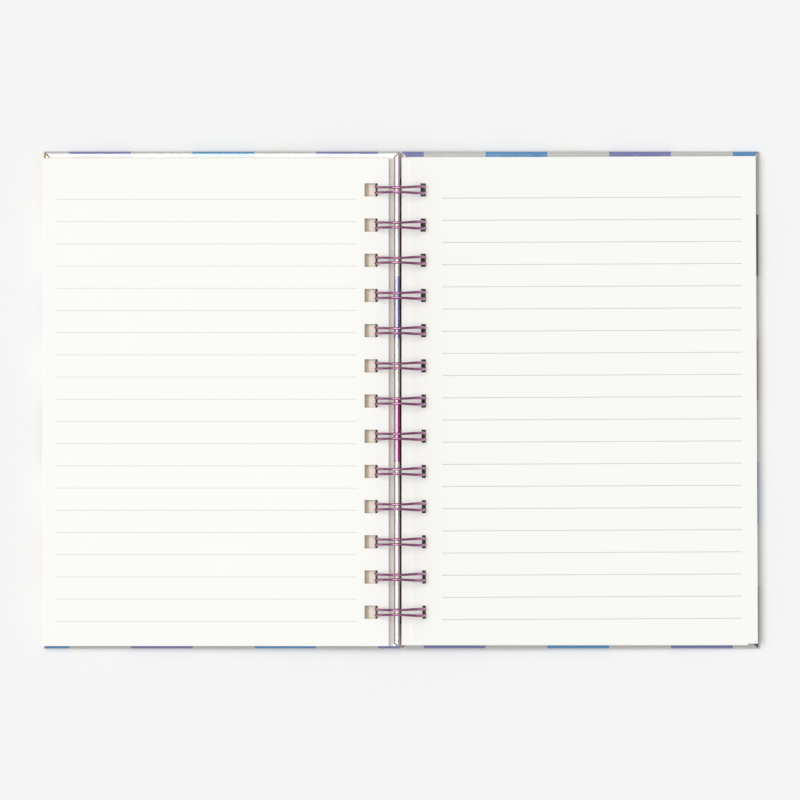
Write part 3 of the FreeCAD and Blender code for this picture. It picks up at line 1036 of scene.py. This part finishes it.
@dataclass
class TwinLoopWire:
    """The binding: one round wire bent into closed double loops along the spine."""

    body: str = "wire_binding"
    node: str = "twin_loop_wire"
    half_legs: float = 1.1 * MM
    tip_setback: float = math.radians(15.6)
    end_length: float = 1.6 * MM
    section_sides: int = 14
    leg_steps: int = 60
    tip_steps: int = 10
    bend_steps: int = 6
    waist: float = 0.3
    waist_reach: float = 5.0 * MM
    splay: float = 0.2
    lean: float = 0.25 * MM
    rise_rate: float = 1.6
    unevenness: float = 0.12
    weld_distance: float = 0.01 * MM
    smooth_under: float = math.radians(50.0)
    seed: int = 3

    @property
    def root_angle(self) -> float:
        """Return where the legs start, so that the spine line lies straight below the axis."""
        return math.atan(SPREAD.root_bend_radius / SPREAD.ring_radius) - math.pi / 2

    @property
    def tip_angle(self) -> float:
        """Return where the legs end, short of the foot of the ring."""
        return 1.5 * math.pi - self.tip_setback

    @property
    def reach(self) -> float:
        """Return how far along the spine a loop and its root bends reach from its middle."""
        return self.half_legs + SPREAD.root_bend_radius

    @staticmethod
    def outward(angle: float) -> Vector:
        """Return the outward direction of the ring at an angle."""
        return Vector((math.cos(angle), 0.0, math.sin(angle)))

    @staticmethod
    def turn(steps: int, angle: float, centre: Vector, axis: Vector) -> None:
        """Run the open end of the wire round an arc, anticlockwise about the axis."""
        bpy.ops.mesh.spin(steps=steps, angle=-angle, center=centre, axis=axis)

    @staticmethod
    def run(length: float) -> None:
        """Run the open end of the wire straight up the spine."""
        bpy.ops.mesh.extrude_region_move(TRANSFORM_OT_translate={"value": (0.0, length, 0.0)})

    def start_section(self) -> bpy.types.Object:
        """Draw the wire's round section where a loop starts, and open it for bending.

        Returns:
            The section, in edit mode with all of it selected.
        """
        Bench.clear()
        bpy.ops.mesh.primitive_circle_add(vertices=self.section_sides, radius=SPREAD.wire_radius,
                                          location=(0.0, -SPREAD.loop_pitch / 2, -SPREAD.spine_drop),
                                          rotation=(math.pi / 2, 0.0, 0.0))
        bpy.ops.object.transform_apply(location=True, rotation=True, scale=True)
        bpy.ops.object.mode_set(mode="EDIT")
        bpy.ops.mesh.select_all(action="SELECT")
        return bpy.context.object

    def loop(self) -> bpy.types.Object:
        """Bend one double loop about the ring axis, which lies along Y through the origin.

        Returns:
            The loop with half of the straight run on each side of it.
        """
        straight = SPREAD.loop_pitch / 2 - self.reach
        sweep = self.tip_angle - self.root_angle
        root, tip = self.outward(self.root_angle), self.outward(self.tip_angle)
        middle, axis = Vector((0.0, 0.0, 0.0)), Vector((0.0, 1.0, 0.0))
        wire = self.start_section()
        self.run(straight)
        self.turn(self.bend_steps, math.pi / 2, -self.reach * axis, root)
        self.turn(self.leg_steps, sweep, middle, -axis)
        self.turn(self.tip_steps, math.pi, middle, tip)
        self.turn(self.leg_steps, sweep, middle, axis)
        self.turn(self.bend_steps, math.pi / 2, self.reach * axis, root)
        self.run(straight)
        bpy.ops.object.mode_set(mode="OBJECT")
        return wire

    def pinch(self, loop: bpy.types.Object, waist: float) -> None:
        """Draw the legs together over the top of the ring and let them splay to the right.

        Args:
            loop: The loop, about the origin.
            waist: The share of the leg spacing that is lost at the top.
        """
        for vertex in loop.data.vertices:
            height = max(0.0, vertex.co.z / SPREAD.ring_radius)
            across = vertex.co.x / SPREAD.ring_radius
            raised = min(1.0, self.rise_rate * height)
            fade = math.exp(-((vertex.co.x / self.waist_reach) ** 2)) * raised
            change = self.splay * across * raised - waist * fade
            leg = max(-1.0, min(1.0, vertex.co.y / self.half_legs))
            vertex.co.y += leg * change * self.half_legs
            vertex.co.x -= self.lean * min(1.0, height)

    def close_ends(self, wire: bpy.types.Object) -> None:
        """Draw the two cut ends in to their length, weld the loops and cap the ends.

        Args:
            wire: The joined loops.
        """
        ys = SPREAD.loop_ys()
        low = ys[0] - self.reach - self.end_length
        high = ys[-1] + self.reach + self.end_length
        for vertex in wire.data.vertices:
            vertex.co.y = max(low, min(high, vertex.co.y))
        Bench.pick(wire)
        bpy.ops.object.mode_set(mode="EDIT")
        bpy.ops.mesh.select_mode(type="VERT")
        bpy.ops.mesh.select_all(action="SELECT")
        bpy.ops.mesh.remove_doubles(threshold=self.weld_distance)
        bpy.ops.mesh.select_all(action="DESELECT")
        bpy.ops.mesh.select_non_manifold()
        bpy.ops.mesh.edge_face_add()
        bpy.ops.mesh.select_all(action="SELECT")
        bpy.ops.mesh.normals_make_consistent(inside=False)
        bpy.ops.object.mode_set(mode="OBJECT")

    def build(self, metal: MauveMetal) -> bpy.types.Object:
        """Bend every loop, join them into one wire and dress it.

        Args:
            metal: The wire's finish.

        Returns:
            The wire.
        """
        chance = random.Random(self.seed)
        pattern = self.loop()
        loops = []
        for y in SPREAD.loop_ys():
            loop = Bench.copy(pattern, Vector((0.0, 0.0, 0.0)))
            self.pinch(loop, self.waist * (1.0 + chance.uniform(-self.unevenness, self.unevenness)))
            loop.data.transform(Matrix.Translation((0.0, y, SPREAD.ring_axis_height)))
            loops.append(loop)
        bpy.data.objects.remove(pattern)
        wire = Bench.join(loops, "bent_wire")
        self.close_ends(wire)
        Bench.pick(wire)
        bpy.ops.object.shade_smooth_by_angle(angle=self.smooth_under)
        Bench.dress(wire, metal.make())
        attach(wire, self.body)
        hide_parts(self.node)
        LOG.info("wire: %d loops, %d faces", len(loops), len(wire.data.polygons))
        return wire


@dataclass
class Studio:
    """Pale table, soft light from the upper left, and a camera straight above the book."""

    table_size: float = 6.0
    focal_length: float = 900.0
    sensor: float = 36.0
    frame_width: float = 288.8 * MM
    focus_height: float = 7.0 * MM
    key_strength: float = 2.05
    key_width: float = math.radians(34.0)
    key_lean_left: float = math.radians(16.0)
    key_lean_up: float = math.radians(4.0)
    world_strength: float = 0.4

    def add_table(self) -> None:
        """Lay the table at the height that the notebook rests on."""
        Bench.clear()
        bpy.ops.mesh.primitive_plane_add(size=self.table_size, location=(0.0, 0.0, 0.0))
        table = bpy.context.object
        table.name = "table"
        Bench.dress(table, TableTop().make())

    def add_light(self) -> None:
        """Hang the broad soft light, far overhead to the left, and set the light of the room."""
        towards = Vector((-math.tan(self.key_lean_left), math.tan(self.key_lean_up), 1.0))
        bpy.ops.object.light_add(type="SUN", location=towards)
        key = bpy.context.object
        key.data.energy = self.key_strength
        key.data.angle = self.key_width
        key.rotation_euler = towards.to_track_quat("Z", "Y").to_euler()
        world = bpy.data.worlds.new("room")
        world.use_nodes = True
        background = world.node_tree.nodes["Background"]
        background.inputs["Color"].default_value = (1.0, 1.0, 1.0, 1.0)
        background.inputs["Strength"].default_value = self.world_strength
        bpy.context.scene.world = world

    def add_camera(self) -> None:
        """Hang the camera straight above the spine, looking down with +Y up the picture."""
        height = self.focus_height + self.frame_width * self.focal_length / self.sensor
        bpy.ops.object.camera_add(location=(0.0, 0.0, height), rotation=(0.0, 0.0, 0.0))
        camera = bpy.context.object
        camera.data.lens = self.focal_length
        camera.data.sensor_width = self.sensor
        bpy.context.scene.camera = camera

    def build(self) -> None:
        """Set up the table, the light and the camera."""
        self.add_table()
        self.add_light()
        self.add_camera()
        bpy.context.scene.view_settings.view_transform = "Standard"
        LOG.info("studio ready")


def main() -> None:
    """Build the notebook piece by piece and set up the studio."""
    logging.basicConfig(level=logging.INFO, format="%(name)s: %(message)s")
    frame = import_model()
    nodes = frame["nodes"]
    Cover(Side.LEFT, "front", print_start=-119.5 * MM).build(nodes)
    Cover(Side.RIGHT, "back", print_start=-13.75 * MM).build(nodes)
    left = LeafPile("left_pages", Side.LEFT, "left_leaves", leaf_count=36, stack=3.6 * MM,
                    gutter=2.6 * MM, shear=1.4 * MM, middle_y=-0.8 * MM)
    left.build(PagePaper("left_paper", Side.LEFT, shaded_steps_below=6.5 * MM))
    right = LeafPile("right_pages", Side.RIGHT, "right_leaves", leaf_count=30, stack=3.0 * MM,
                     gutter=0.55 * MM, shear=0.0, middle_y=-0.5 * MM, loose_leaves=2, seed=11)
    right.build(PagePaper("right_paper", Side.RIGHT, shaded_steps_below=5.9 * MM, tint=(0.93, 0.93, 0.895),
                          rule_tint=(0.46, 0.43, 0.58), rule_pitch=8.006 * MM,
                          first_rule_y=-79.35 * MM, rule_near_x=15.1 * MM, rule_far_x=123.4 * MM,
                          ruling_turn=right.loose_turn))
    TwinLoopWire().build(MauveMetal())
    Studio().build()


if __name__ == "__main__":
    main()
